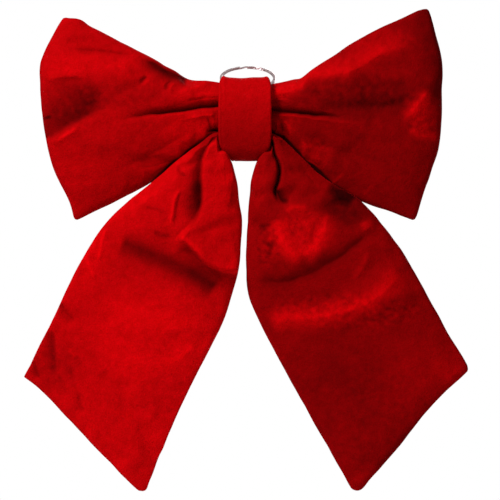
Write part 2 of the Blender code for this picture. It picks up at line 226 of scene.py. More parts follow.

# Folds as (points, depth, shade, width to the left of the way it runs, width to the right,
# fade at the start, fade at the end). A depth above zero sinks a groove and one below zero
# raises a ridge. A shade above zero is painted shade and one below zero a painted highlight.
LEFT_LOOP_FOLDS = [
    ([(-15.1, 5.8), (-25.2, 4.8), (-36.4, 3.4), (-44.8, 2.6), (-53.2, 1.5), (-60, 0.3), (-72, -2)],
     4.2, 0.42, 0.8, 2.8, 0.0, 0.55),
    ([(-62, 34.2), (-53.2, 31), (-44.8, 27), (-36.4, 23), (-31, 21.4)], 2.8, 0.5, 1.8, 4.0, 0.4, 0.1),
    ([(-101, 38), (-82, 37.6), (-60, 35.4)], 1.1, 0.1, 1.2, 2.4, 0.3, 0.3),
    ([(-108, -9.5), (-100.2, -5), (-92.4, -0.6), (-84, 3.4), (-70, 6)], 3.2, 0.3, 13.0, 1.8, 0.0, 0.5),
    ([(-106.4, -13.6), (-100.8, -11), (-94.6, -6.9), (-91.3, -3)], -1.5, -0.26, 1.2, 2.0, 0.25, 0.3),
    ([(-112, 0), (-106.4, 1)], 1.3, 0.3, 1.0, 1.0, 0.0, 0.5),
    ([(-111, 20.5), (-98, 22.6), (-84, 22)], -1.2, -0.1, 5.0, 1.2, 0.1, 0.4),
    ([(-53.6, 23.8), (-57.1, 21.3), (-58.2, 18.4)], 1.6, 0.28, 1.2, 1.2, 0.3, 0.4),
    ([(-52, 22), (-55, 19.8), (-56, 17)], -0.9, -0.14, 1.2, 1.2, 0.3, 0.4),
    ([(-39.6, 22), (-43.1, 19), (-43.1, 14)], 1.6, 0.24, 1.2, 1.2, 0.3, 0.4),
    ([(-38, 20), (-41, 17), (-41, 13)], -0.9, -0.1, 1.2, 1.2, 0.3, 0.4),
    ([(-21.3, 0.6), (-20, -2.6), (-18.5, -6.4)], 1.3, 0.28, 1.0, 1.2, 0.4, 0.1),
    ([(-14.5, -7.2), (-18.2, -7.4), (-22, -8.4)], 2.6, 0.6, 1.2, 1.4, 0.0, 0.5),
    ([(-17, 1), (-26, 0), (-40, -3)], -0.9, -0.08, 1.4, 2.4, 0.1, 0.6),
    ([(-30, -8), (-52, -20), (-74, -33)], 1.0, 0.06, 4.0, 4.0, 0.2, 0.4),
]
RIGHT_LOOP_FOLDS = [
    ([(14.8, 3.9), (25.2, 2.6), (36.4, 1.9), (47.6, 0.7), (60, -1)], 3.4, 0.2, 2.0, 0.8, 0.0, 0.5),
    ([(38, 3.6), (58.8, 5.8), (75.6, 6.7), (86.8, 10), (99, 15.6)], 1.6, 0.12, 6.5, 5.5, 0.2, 0.3),
    ([(16, 1.8), (34, 0), (53.2, -2.4), (72, -3.6)], -1.2, -0.1, 0.8, 2.6, 0.1, 0.5),
    ([(15, 12.6), (24, 14.6), (30, 18), (34, 22), (42, 25), (56, 24.8), (65.5, 29), (75.6, 35.3),
      (86.8, 39.2), (98, 45)], -1.5, -0.36, 9.0, 2.4, 0.0, 0.3),
    ([(103, 16.4), (98, 10), (92.4, 3.4), (89.6, -3)], -1.2, -0.32, 5.0, 2.6, 0.2, 0.3),
    ([(90, -7), (98, -10.4), (109, -11.8)], -0.7, -0.24, 3.0, 2.2, 0.2, 0.2),
    ([(94, 2), (100, -4), (106, -9)], -0.9, -0.12, 1.6, 1.6, 0.3, 0.4),
    ([(18.5, -0.6), (17.4, -8.4)], -1.2, -0.16, 1.2, 1.2, 0.3, 0.2),
    ([(21.4, -1.4), (25, -7), (26, -12)], -1.0, -0.14, 1.4, 1.2, 0.2, 0.3),
    ([(20, -2), (21, -9)], 1.0, 0.16, 0.8, 0.8, 0.3, 0.2),
    ([(14.5, -8.6), (16, -9.2)], 2.0, 0.8, 1.2, 1.2, 0.0, 0.2),
    ([(19.6, -11), (21, -12)], 1.4, 0.8, 1.0, 1.0, 0.2, 0.2),
    ([(30, -12), (36, -18.6), (41.6, -27)], -0.9, -0.15, 3.0, 2.4, 0.3, 0.3),
    ([(49.3, -36.4), (57, -30.4)], -0.4, -0.14, 1.2, 1.2, 0.1, 0.5),
    ([(66, -43.4), (73.5, -36)], -0.3, -0.1, 1.2, 1.2, 0.1, 0.5),
    ([(104, 61), (106, 46), (110, 30), (110, 0)], 0.0, 0.16, 1.0, 9.0, 0.0, 0.3),
    ([(28, -15), (50, -17), (80, -28)], 0.9, 0.0, 4.0, 5.0, 0.3, 0.4),
]
LEFT_TAIL_FOLDS = [
    ([(-15.4, -10.8), (-21.6, -17.4), (-24.8, -24.6), (-25.1, -34.7), (-24.4, -43.1), (-25.4, -51.5),
      (-28, -59), (-30.8, -64.5)], 4.4, 0.42, 0.9, 4.6, 0.0, 0.35),
    ([(-26.5, -33), (-29, -45), (-30.5, -56)], 0.6, 0.2, 3.4, 4.4, 0.3, 0.3),
    ([(-34.4, -39), (-37.2, -48.7), (-39.2, -63)], 0.7, 0.2, 1.8, 0.8, 0.2, 0.3),
    ([(-36.2, -39.6), (-38.9, -48.7), (-41.2, -62)], -0.7, -0.2, 0.9, 1.4, 0.2, 0.3),
    ([(-37.5, -26.3), (-36, -31.4), (-31.4, -34)], 1.2, 0.22, 1.1, 1.1, 0.4, 0.3),
    ([(-51, -64.2), (-44.8, -66.4), (-39.2, -67)], 0.8, 0.24, 1.4, 1.8, 0.3, 0.2),
    ([(-69, -70.6), (-58.8, -74.4), (-47.6, -79), (-36.4, -84), (-25.2, -90.2), (-15, -96)],
     1.2, 0.48, 5.4, 6.4, 0.06, 0.06),
    ([(-37, -66), (-30.8, -71), (-24.6, -77.6), (-19, -82.6), (-11, -84.8), (-2, -85.4)],
     -4.6, -0.06, 13.0, 2.4, 0.1, 0.0),
    ([(-34, -69.6), (-27.6, -76.4), (-21, -83.6), (-11, -87.2), (-2, -88.2)],
     2.4, 0.3, 0.8, 6.5, 0.1, 0.1),
    ([(-34.8, -66.2), (-30.8, -69.4), (-25.2, -74.4), (-21.4, -78)], -1.0, -0.34, 1.3, 1.1, 0.15, 0.3),
    ([(-77.3, -62.6), (-79.5, -73.4), (-81.8, -82.3)], -1.3, -0.26, 1.6, 1.0, 0.2, 0.3),
    ([(-87.9, -79.6), (-84.6, -87), (-83, -92)], -1.1, -0.2, 1.2, 1.2, 0.2, 0.3),
    ([(-91.8, -80.6), (-90.4, -92)], 0.8, 0.12, 1.4, 2.4, 0.2, 0.4),
    ([(-102.6, -103.6), (-99.1, -110.3), (-94.4, -116.6)], 1.8, 0.2, 1.4, 3.0, 0.15, 0.3),
    ([(-107.8, -118.6), (-106.4, -130), (-106.4, -147)], 1.2, 0.26, 1.0, 4.0, 0.15, 0.25),
    ([(-118.4, -136), (-115.8, -147.6)], 0.8, 0.22, 1.0, 2.6, 0.15, 0.2),
    ([(-98.4, -129.4), (-93.5, -135.8)], -0.8, -0.14, 1.5, 1.5, 0.3, 0.3),
    ([(-93, -153.4), (-91, -167)], 1.2, 0.15, 1.4, 3.2, 0.3, 0.3),
    ([(-46, -139), (-36, -134.6), (-27, -126)], -0.6, -0.1, 2.0, 3.0, 0.3, 0.2),
    ([(-17.9, -9), (-22.8, -12.8), (-27.4, -18.4)], 0.8, 0.12, 0.8, 0.8, 0.1, 0.4),
    ([(-20.6, -10.6), (-27, -15.2), (-33, -21.4)], 0.8, 0.1, 0.8, 0.8, 0.2, 0.4),
    ([(-16.4, -12.6), (-20.4, -18), (-22.6, -24)], -0.9, -0.14, 1.2, 1.0, 0.2, 0.4),
    ([(-58, -50), (-46, -53.6), (-41, -60)], 1.0, 0.12, 2.0, 3.4, 0.3, 0.2),
]
RIGHT_TAIL_FOLDS = [
    ([(14.8, -13.4), (17.6, -21.4), (19.5, -27.4), (19, -34.7), (17.5, -42), (19.4, -46.8),
      (23.5, -49)], 4.6, 0.62, 1.0, 0.8, 0.0, 0.4),
    ([(18.4, -40), (21.4, -46), (26, -48.4)], 1.6, 0.26, 2.6, 1.2, 0.2, 0.3),
    ([(8, -60.8), (12, -61.6), (16.4, -60.2)], 0.8, 0.2, 1.8, 1.8, 0.3, 0.3),
    ([(16, -67.6), (16.8, -74.6)], 0.7, 0.16, 1.4, 1.6, 0.3, 0.3),
    ([(19, -56), (20.7, -66), (26, -75), (35, -79)], -1.1, -0.34, 4.6, 3.8, 0.15, 0.2),
    ([(46.8, -53), (44.6, -65), (39.6, -72.6), (32, -78.4)], -1.2, -0.36, 4.0, 5.0, 0.15, 0.2),
    ([(22.6, -54), (28, -51), (37, -52)], -0.8, -0.3, 2.2, 2.4, 0.15, 0.3),
    ([(25, -58), (27.6, -66), (34, -71)], 0.6, 0.06, 1.4, 1.4, 0.3, 0.3),
    ([(7.3, -90.7), (19.6, -91.3), (30.8, -88.5), (42, -84), (53.2, -77.6), (64.4, -69), (73.4, -63)],
     2.0, 0.13, 3.0, 3.6, 0.1, 0.2),
    ([(28, -82), (40, -78.6), (50, -71)], 0.0, 0.12, 3.4, 4.0, 0.3, 0.3),
    ([(46, -37), (54, -42), (62, -48)], 1.0, 0.2, 3.4, 5.0, 0.2, 0.2),
    ([(66, -58), (69, -63.6)], -1.0, -0.2, 2.2, 2.0, 0.3, 0.3),
    ([(14.4, -117), (22.4, -113.4), (30.8, -112.2), (42, -111.8), (56, -108.4), (70, -102.6),
      (78.4, -97), (85.7, -89.4), (89.6, -82.6)], -1.6, -0.44, 6.5, 4.6, 0.08, 0.15),
    ([(60, -92), (66, -84), (70, -74)], -1.0, -0.06, 3.0, 3.0, 0.3, 0.3),
    ([(74, -204), (96, -178), (122, -150)], 0.0, 0.12, 9.0, 2.0, 0.15, 0.2),
    ([(106, -136), (118, -146)], -0.8, -0.06, 4.0, 4.0, 0.3, 0.1),
    ([(30, -22), (37, -34), (44, -44)], 0.9, 0.02, 2.0, 2.4, 0.2, 0.5),
    ([(40, -130), (60, -150), (78, -160)], 0.8, 0.04, 6.0, 6.0, 0.3, 0.3),
]

# Broad patches as (x, z, half width, half height, shade, how crushed it is): a shade above zero is
# painted shade and one below zero a painted highlight; crushed is random streaking of the pile.
LEFT_LOOP_PILE_AND_SHADE = [
    (-97, 9, 17, 15, 0.14, 0.05), (-70, 13, 26, 8, 0.12, 0.05), (-84, 30, 32, 7, -0.12, 0.03),
    (-27, 13, 14, 7, -0.15, 0.05), (-86, -46, 16, 8, 0.04, 0.0), (-30, -7, 18, 10, -0.2, 0.04),
    (-60, -8, 60, 50, 0.0, 0.04), (-92, -30, 16, 14, -0.06, 0.0),
]
RIGHT_LOOP_PILE_AND_SHADE = [
    (22, 15, 10, 6, -0.12, 0.06), (66, 14, 40, 9, 0.07, 0.05), (98, 2, 10, 12, -0.12, 0.16),
    (70, 44, 30, 7, -0.04, 0.06), (22, -4, 9, 8, -0.16, 0.1), (38, -20, 10, 9, -0.09, 0.08),
    (60, 0, 60, 60, 0.0, 0.04),
]
LEFT_TAIL_PILE_AND_SHADE = [
    (-54, -120, 34, 28, -0.23, 0.04), (-28, -47, 6, 13, 0.12, 0.06), (-12, -52, 7, 26, -0.08, 0.04),
    (-40, -148, 13, 5, 0.06, 0.04), (-56, -198, 10, 12, 0.08, 0.0), (-106, -139, 14, 16, 0.17, 0.1),
    (-60, -52, 24, 14, -0.06, 0.06), (-86, -76, 10, 20, -0.12, 0.06), (-70, -160, 60, 40, 0.0, 0.04),
]
RIGHT_TAIL_PILE_AND_SHADE = [
    (9, -38, 5, 20, -0.07, 0.06), (31, -66, 17, 14, -0.3, 0.22), (57, -49, 14, 12, 0.17, 0.06),
    (14, -72, 7, 12, -0.04, 0.24), (36, -30, 12, 10, 0.0, 0.04), (56, -108, 42, 10, -0.02, 0.26),
    (100, -150, 26, 26, -0.07, 0.04), (60, -168, 50, 40, 0.07, 0.04),
]

# The band's middle surface as (y, z, half its width) points, from its inner end
# round the front to its outer end.
BAND_PATH = [
    (-3.7, -2, 11.5), (-3.7, -13, 11.2), (-5.6, -19.6, 9.6), (-11, -22.4, 8.2), (-20, -22.8, 7.8),
    (-27.6, -22.8, 8.2), (-31.4, -22, 9.6), (-34.2, -19, 12), (-35.6, -15.6, 14), (-36.6, -10, 14.8),
    (-37.2, -3, 14.8), (-37, 4, 14.8), (-35.8, 11, 14.7), (-33, 17.4, 14.6), (-29.6, 20.6, 14),
    (-24, 21.8, 13), (-18, 22, 12), (-12, 22, 11), (-6, 21.9, 10.2),
    (-2.4, 20.4, 9.9), (-1.1, 16.6, 10.4), (-1.1, 10, 11.4), (-1.1, -4, 12), (-1.1, -15, 11.6),
]

# Where the band is stuffed on its inner face, by share of its length, and how deep:
# (rise begins, rise ends, fall begins, fall ends, depth).
BAND_STUFFING = ((0.35, 0.4, 0.49, 0.54, 2.4), (0.845, 0.862, 0.903, 0.914, 2.8))

# The knot core's outline as (y, z) points; it is closed.
CORE_OUTLINE = [
    (-6.4, 9), (-5, 7), (-4.9, -13), (-6.4, -17.8), (-11.2, -21.2), (-14, -21.5), (-24, -21.5),
    (-25.2, -19.4), (-25.2, -14.4), (-24, -12.9), (-13.4, -12.9), (-11.4, -11), (-11.4, 7), (-10, 9),
    (-6.4, 9),
]

BRIGHT_RED = (0.84, 0.0003, 0.0032, 1)
PLAIN_RED = (0.62, 0.0001, 0.0008, 1)
# The darkest red: the velvet's painted shade mixes towards it, and the thread's darker plies use it.
SHADE_AND_PLY_RED = (0.03, 0.0, 0.0001, 1)
SHEEN_RED = (1.0, 0.004, 0.01, 1)
SPECKLE_SHARE = 0.6
BLOTCH_SHARE = 0.16
DULL_STEEL = (0.42, 0.29, 0.3, 1)
BRIGHT_STEEL = (0.78, 0.64, 0.64, 1)


# ---- Small tools ----

def smoothstep(low, high, value):
    share = np.clip((value - low) / (high - low), 0, 1)
    return share * share * (3 - 2 * share)


def mix(a, b, share):
    return a + (b - a) * share


class SmoothPath:
    """A smooth curve through the points given, read by its share of length from 0 to 1."""

    STEPS = 12

    def __init__(self, points):
        knots = np.array(points, float)
        extended = np.vstack([2 * knots[0] - knots[1], knots, 2 * knots[-1] - knots[-2]])
        t = (np.arange(self.STEPS) / self.STEPS)[:, None]
        line = []
        for a, b, c, d in zip(extended, extended[1:], extended[2:], extended[3:]):
            bend = (2 * a - 5 * b + 4 * c - d) * t**2 + (3 * b - a - 3 * c + d) * t**3
            line.append(b + ((c - a) * t + bend) / 2)
        self.line = np.vstack(line + [knots[-1:]])
        steps = np.linalg.norm(np.diff(self.line, axis=0), axis=1)
        self.along = np.concatenate([[0], np.cumsum(steps)])
        self.along /= self.along[-1]

    def at(self, share):
        axes = [np.interp(share, self.along, self.line[:, k]) for k in range(self.line.shape[1])]
        return np.stack(axes, axis=-1)


def from_line(x, z, points, steps=24):
    """How far each (x, z) is from a smooth line, its place along it and its side (left is above 0)."""
    line = SmoothPath(points).at(np.linspace(0, 1, steps + 1))
    nearest = np.full(x.shape, np.inf)
    share = np.zeros_like(x)
    side = np.zeros_like(x)
    for i, (a, b) in enumerate(zip(line, line[1:])):
        step = b - a
        t = np.clip(((x - a[0]) * step[0] + (z - a[1]) * step[1]) / (step @ step), 0, 1)
        far = np.hypot(x - a[0] - t * step[0], z - a[1] - t * step[1])
        closer = far < nearest
        nearest = np.where(closer, far, nearest)
        share = np.where(closer, (i + t) / steps, share)
        side = np.where(closer, step[0] * (z - a[1]) - step[1] * (x - a[0]), side)
    return nearest, share, side


def pressed_folds(x, z, folds):
    """How deep the folds sink the surface at each (x, z), and the painted shade they add along them."""
    grooves, ridges, shade = np.zeros_like(x), np.zeros_like(x), np.zeros_like(x)
    for points, depth, darkness, left_width, right_width, fade_in, fade_out in folds:
        nearest, share, side = from_line(x, z, points)
        strength = smoothstep(-FADE_MARGIN, fade_in, share)
        strength *= smoothstep(1 + FADE_MARGIN, 1 - fade_out, share)
        reach = nearest / np.where(side > 0, left_width, right_width)
        from_bottom = np.sqrt(reach**2 + FOLD_SOFTNESS**2) - FOLD_SOFTNESS
        sink = depth * strength * np.exp(-FOLD_FALL * from_bottom)
        grooves, ridges = np.maximum(grooves, sink), np.minimum(ridges, sink)
        shade += darkness * strength * np.exp(-reach**2)
    return grooves + ridges, shade


def folds_and_painted_shade(x, z, folds, patches, shade, seed):
    """How deep the folds are, and the painted shade at each point, from 0 to 1."""
    streaks = ripple(x + STREAK_SLANT * z, z - STREAK_SLANT * x, STREAK_SIZE, seed + 11)
    streaks += 0.5 * ripple(x, z, SPOT_SIZE, seed + 12)
    warped_x = x + PILE_WARP * ripple(x, z, 7, seed + 13)
    warped_z = z + PILE_WARP * ripple(x, z, 6, seed + 14)
    sunk, painted_shade = pressed_folds(warped_x, warped_z, folds)
    painted_shade += shade
    # Broad patches of painted shade and painted highlight: lean is how much each one darkens the colour,
    # crushed is how much random streaking it has.
    for middle_x, middle_z, half_width, half_height, lean, crushed in patches:
        far = np.hypot((warped_x - middle_x) / half_width, (warped_z - middle_z) / half_height)
        painted_shade += (lean + crushed * streaks) * smoothstep(*PATCH_EDGE, far)
    return sunk, painted_shade


def ripple(x, z, size, seed):
    """A gentle random relief, from -1 to 1, with bumps about that many millimetres across."""
    flat = [noise.noise((a / size, b / size, seed)) for a, b in zip(x.ravel(), z.ravel())]
    return np.array(flat).reshape(x.shape)


def relief(x, z, depth_and_size, seed):
    """The random relief, with its depth in millimetres."""
    depth, size = depth_and_size
    return depth * ripple(x, z, size, seed)


def new_object(name, vertices, faces, finish, sharp_deg=60):
    mesh = bpy.data.meshes.new(name)
    mesh.from_pydata((np.asarray(vertices) * MM).tolist(), [], faces)
    mesh.update()
    mesh.materials.append(finish)
    mesh.shade_smooth()
    mesh.set_sharp_from_angle(angle=math.radians(sharp_deg))
    made = bpy.data.objects.new(name, mesh)
    bpy.context.scene.collection.objects.link(made)
    face_outwards(made)
    return made


def face_outwards(made):
    bm = bmesh.new()
    bm.from_mesh(made.data)
    bmesh.ops.recalc_face_normals(bm, faces=bm.faces)
    if bm.calc_volume(signed=True) < 0:
        bmesh.ops.reverse_faces(bm, faces=bm.faces)
    bm.to_mesh(made.data)
    bm.free()


def set_painted_shade(made, shades):
    """Store the painted shade at each vertex, in its pile attribute, for the velvet material: how far its
    colour is darkened to stand in for shade and shadow.
    """
    layer = made.data.attributes.new("pile", "FLOAT", "POINT")
    layer.data.foreach_set("value", np.asarray(shades).astype(np.float32))


def grid(columns, rows):
    return np.meshgrid(np.linspace(0, 1, columns + 1), np.linspace(0, 1, rows + 1), indexing="ij")


# ---- Padded cases ----

def pillow(name, front, back, finish):
    """A closed case from a front and a back grid of points that meet along their edges."""
    columns, rows = front.shape[0] - 1, front.shape[1] - 1
    index = np.arange((columns + 1) * (rows + 1)).reshape(columns + 1, rows + 1)
    behind = index.copy()
    inner = (columns - 1) * (rows - 1)
    behind[1:-1, 1:-1] = index.size + np.arange(inner).reshape(columns - 1, rows - 1)
    points = np.vstack([front.reshape(-1, 3), back[1:-1, 1:-1].reshape(-1, 3)])
    faces = []
    for i in range(columns):
        for j in range(rows):
            faces.append((index[i, j], index[i + 1, j], index[i + 1, j + 1], index[i, j + 1]))
            faces.append((behind[i, j], behind[i, j + 1], behind[i + 1, j + 1], behind[i + 1, j]))
    return new_object(name, points, [tuple(int(k) for k in face) for face in faces], finish)


def smoothed(field):
    """The field with the steps of the coarser cloth rounded off."""
    kernel = np.array([1, 2, 3, 4, 5, 4, 3, 2, 1]) / 25
    half = len(kernel) // 2
    for axis in (0, 1):
        reach = [(half, half) if k == axis else (0, 0) for k in range(3)]
        padded = np.pad(field, reach, mode="edge")
        field = np.apply_along_axis(lambda row: np.convolve(row, kernel, "valid"), axis, padded)
    return field


def refined(coarse, shape):
    """A coarse grid of moves spread over the fine grid it was taken from."""
    columns, rows = coarse.shape[0], coarse.shape[1]
    i, j = np.linspace(0, columns - 1, shape[0]), np.linspace(0, rows - 1, shape[1])
    low_i, low_j = np.minimum(i.astype(int), columns - 2), np.minimum(j.astype(int), rows - 2)
    ti, tj = (i - low_i)[:, None, None], (j - low_j)[None, :, None]
    lower = mix(coarse[low_i][:, low_j], coarse[low_i + 1][:, low_j], ti)
    upper = mix(coarse[low_i][:, low_j + 1], coarse[low_i + 1][:, low_j + 1], ti)
    return smoothed(mix(lower, upper, tj))


def stuffed(name, front, back):
    """The front and back grids after a short cloth simulation of the stuffed case, held at its seams."""
    step = CLOTH_STEP
    coarse_front, coarse_back = front[::step, ::step], back[::step, ::step]
    made = pillow(name + "_cloth", coarse_front, coarse_back, None)
    columns, rows = coarse_front.shape[:2]
    held = made.vertex_groups.new(name="held")
    for i in range(columns):
        for j in range(rows):
            if i < CLOTH_HELD_COLUMNS or i == columns - 1 or j in (0, rows - 1):
                held.add([i * rows + j], 1.0, "REPLACE")
    cloth = made.modifiers.new("cloth", "CLOTH")
    settings = cloth.settings
    settings.quality = CLOTH_QUALITY
    settings.mass = CLOTH_MASS
    settings.tension_stiffness = CLOTH_STIFFNESS
    settings.compression_stiffness = CLOTH_STIFFNESS
    settings.bending_stiffness = CLOTH_BENDING
    settings.shrink_min = CLOTH_SHRINK
    settings.use_pressure = True
    settings.uniform_pressure_force = CLOTH_PRESSURE
    settings.vertex_group_mass = "held"
    settings.effector_weights.gravity = 0
    cloth.point_cache.frame_end = CLOTH_FRAMES
    for number in range(1, CLOTH_FRAMES + 1):
        bpy.context.scene.frame_set(number)
    shown = made.evaluated_get(bpy.context.evaluated_depsgraph_get()).data
    after = np.empty(len(shown.vertices) * 3)
    shown.vertices.foreach_get("co", after)
    after = after.reshape(-1, 3) / MM
    bpy.context.scene.frame_set(1)
    bpy.data.objects.remove(made)
    front_moved = after[: columns * rows].reshape(columns, rows, 3) - coarse_front
    back_moved = np.zeros_like(coarse_back)
    back_after = after[columns * rows :].reshape(columns - 2, rows - 2, 3)
    back_moved[1:-1, 1:-1] = back_after - coarse_back[1:-1, 1:-1]
    for moved in (front_moved, back_moved):
        far = np.linalg.norm(moved, axis=-1, keepdims=True)
        moved *= np.minimum(1, CLOTH_LIMIT / np.maximum(far, CLOTH_LIMIT))
    return front + refined(front_moved, front.shape), back + refined(back_moved, back.shape)


def finished_case(name, x, z, middle, front, back, sunk, shade, finish):
    """A velvet case from the height of its front and back over the middle surface."""
    front_points = np.stack([x, middle - front, z], axis=-1)
    back_points = np.stack([x, middle + back, z], axis=-1)
    front_points[0] = back_points[0]
    front_points, back_points = stuffed(name, front_points, back_points)
    front_points[..., 1] += np.minimum(sunk, front)
    creased = BACK_FOLDS * np.maximum(sunk, 0)
    back_points[..., 1] -= np.minimum(creased, BACK_FOLD_LIMIT * back)
    made = pillow(name, front_points, back_points, finish)
    # Painted shade on the back panel, darker in its creases.
    behind = BACK_SHADE + BACK_FOLD_SHADE * creased[1:-1, 1:-1]
    set_painted_shade(made, np.clip(np.concatenate([shade.ravel(), behind.ravel()]), 0, 1))
    return made


# ---- Materials ----

def new_material(name):
    made = bpy.data.materials.new(name)
    made.use_nodes = True
    tree = made.node_tree
    return made, tree, tree.nodes["Principled BSDF"]


def add(tree, kind, **values):
    node = tree.nodes.new(kind)
    for key, value in values.items():
        setattr(node, key, value)
    return node


def noise_node(tree, coords, scale, detail, roughness):
    node = add(tree, "ShaderNodeTexNoise")
    node.inputs["Scale"].default_value = scale
    node.inputs["Detail"].default_value = detail
    node.inputs["Roughness"].default_value = roughness
    tree.links.new(coords, node.inputs["Vector"])
    return node.outputs["Fac"]


def math_node(tree, operation, first, second, third=None):
    node = add(tree, "ShaderNodeMath", operation=operation)
    for socket, value in zip(node.inputs, (first, second, third)):
        if isinstance(value, bpy.types.NodeSocket):
            tree.links.new(value, socket)
        elif value is not None:
            socket.default_value = value
    return node.outputs[0]


def ramp(tree, value, stops):
    node = add(tree, "ShaderNodeValToRGB")
    for element, (place, colour) in zip(node.color_ramp.elements, stops):
        element.position = place
        element.color = colour
    tree.links.new(value, node.inputs["Fac"])
    return node.outputs["Color"]


def velvet(name):
    """Short pile in randomly mottled reds, mixed towards a deep red by the painted shade at each vertex:
    painted shade, shadow and highlight in soft patches and along folds.
    """
    made, tree, shader = new_material(name)
    coords = add(tree, "ShaderNodeTexCoord").outputs["Object"]
    crushed = noise_node(tree, coords, scale=260, detail=5, roughness=0.75)
    speckle = noise_node(tree, coords, scale=1500, detail=2, roughness=0.6)
    mottled = math_node(tree, "MULTIPLY_ADD", speckle, SPECKLE_SHARE, crushed)
    mottled = math_node(tree, "SUBTRACT", mottled, SPECKLE_SHARE / 2)
    fresh = ramp(tree, mottled, [(0.3, PLAIN_RED), (0.7, BRIGHT_RED)])
    colour = add(tree, "ShaderNodeMix", data_type="RGBA")
    # The pile attribute holds the painted shade; blotchy noise adds a little random tone before it mixes
    # the colour towards the darkest red.
    painted_shade = add(tree, "ShaderNodeAttribute", attribute_name="pile")
    blotch = noise_node(tree, coords, scale=90, detail=3, roughness=0.6)
    varied = math_node(tree, "MULTIPLY_ADD", blotch, BLOTCH_SHARE, painted_shade.outputs["Fac"])
    painted_darkening = math_node(tree, "SUBTRACT", varied, BLOTCH_SHARE / 2)
    tree.links.new(painted_darkening, colour.inputs["Factor"])
    tree.links.new(fresh, colour.inputs["A"])
    colour.inputs["B"].default_value = SHADE_AND_PLY_RED
    tree.links.new(colour.outputs["Result"], shader.inputs["Base Color"])
    shader.inputs["Roughness"].default_value = 0.85
    shader.inputs["Specular IOR Level"].default_value = 0.02
    shader.inputs["Sheen Weight"].default_value = 0.3
    shader.inputs["Sheen Roughness"].default_value = 0.2
    shader.inputs["Sheen Tint"].default_value = SHEEN_RED
    pile = noise_node(tree, coords, scale=1400, detail=2, roughness=0.7)
    tufts = math_node(tree, "MULTIPLY_ADD", crushed, 1.4, pile)
    bump = add(tree, "ShaderNodeBump")
    bump.inputs["Strength"].default_value = 0.8
    bump.inputs["Distance"].default_value = 0.0005
    tree.links.new(tufts, bump.inputs["Height"])
    tree.links.new(bump.outputs["Normal"], shader.inputs["Normal"])
    return made


def metal(name):
    """Bright plated steel with a little wear in its colour and gloss."""
    made, tree, shader = new_material(name)
    coords = add(tree, "ShaderNodeTexCoord").outputs["Object"]
    wear = noise_node(tree, coords, scale=700, detail=3, roughness=0.6)
    colour = ramp(tree, wear, [(0.35, DULL_STEEL), (0.65, BRIGHT_STEEL)])
    tree.links.new(colour, shader.inputs["Base Color"])
    rough = add(tree, "ShaderNodeMapRange")
    rough.inputs["To Min"].default_value = 0.14
    rough.inputs["To Max"].default_value = 0.3
    tree.links.new(wear, rough.inputs["Value"])
    tree.links.new(rough.outputs["Result"], shader.inputs["Roughness"])
    shader.inputs["Metallic"].default_value = 1.0
    return made


def thread_material(name):
    """Matt twisted thread."""
    made, tree, shader = new_material(name)
    coords = add(tree, "ShaderNodeTexCoord").outputs["Object"]
    plies = noise_node(tree, coords, scale=2500, detail=2, roughness=0.5)
    colour = ramp(tree, plies, [(0.3, SHADE_AND_PLY_RED), (0.7, PLAIN_RED)])
    tree.links.new(colour, shader.inputs["Base Color"])
    shader.inputs["Roughness"].default_value = 0.8
    shader.inputs["Specular IOR Level"].default_value = 0.1
    return made


# ---- Loops ----

def shaped(low, high, end, out, v):
    """Points between two side curves, closed at the far end by a third one."""
    sides = mix(SmoothPath(low).at(out), SmoothPath(high).at(out), v[..., None])
    closing = SmoothPath(end).at(v)
    straight = mix(closing[:, :1], closing[:, -1:], v[..., None])
    points = sides + (closing - straight) * smoothstep(0.5, 1, out)[..., None]
    return points[..., 0], points[..., 1]


def wavy(x, z, seed):
    """The points moved a little, so no seam runs perfectly straight."""
    wave = EDGE_WAVE * smoothstep(*EDGE_WAVE_FROM_KNOT, np.hypot(x, z))
    moved_x = x + wave * ripple(x, z, EDGE_WAVE_SIZE, seed)
    moved_z = z + wave * ripple(x, z, EDGE_WAVE_SIZE, seed + 3)
    return moved_x, moved_z


def loop(name, outline, over, folds, patches, shade, seed, finish):
    """One padded loop; the tail whose outline is given lies over it and presses it back."""
    out, v = grid(*LOOP_GRID)
    x, z = shaped(outline["bottom"], outline["top"], outline["outer"], out, v)
    across = np.maximum(0, 1 - np.abs(2 * v - 1) ** LOOP_ROUNDING) ** 0.5
    closed = np.maximum(0, 1 - out**LOOP_END_ROUNDING) ** 0.5
    fullness = across * closed * smoothstep(*LOOP_OPENING, out)
    reach, _, side = from_line(x, z, over["outer"], steps=48)
    clear = reach * np.sign(side * x)
    room = UNDER_TAIL + TAIL_REST_SLOPE * np.maximum(clear, TAIL_REST_FROM)
    front = mix(NECK_FRONT, LOBE_FRONT, smoothstep(*FRONT_RISE, out))
    front = fullness * (front + relief(x, z, LOOP_FRONT_RELIEF, seed))
    front = np.minimum(front, room) - TAIL_DENT * np.exp(-np.abs(front - room) / TAIL_DENT)
    front = np.maximum(0, front + fullness * relief(x, z, LOOP_FINE_RELIEF, seed + 5))
    back = mix(NECK_BACK, LOBE_BACK, smoothstep(*BACK_RISE, out))
    back = fullness * (back + relief(x, z, LOOP_BACK_RELIEF, seed + 9))
    sunk, painted_shade = folds_and_painted_shade(x, z, folds, patches, shade, seed)
    # Painted shadow on the loop along the tail's edge: a narrow dark line and a softer darkening
    # spreading from it.
    painted_shade += EDGE_SHADOW * np.exp(-(clear / EDGE_SHADOW_WIDTH) ** 2)
    painted_shade += SOFT_SHADOW * np.exp(-np.maximum(clear, 0) / SOFT_SHADOW_WIDTH)
    x, z = wavy(x, z, seed)
    return finished_case(name, x, z, LOOP_MID_Y, front, back, sunk, painted_shade, finish)


# ---- Tails ----

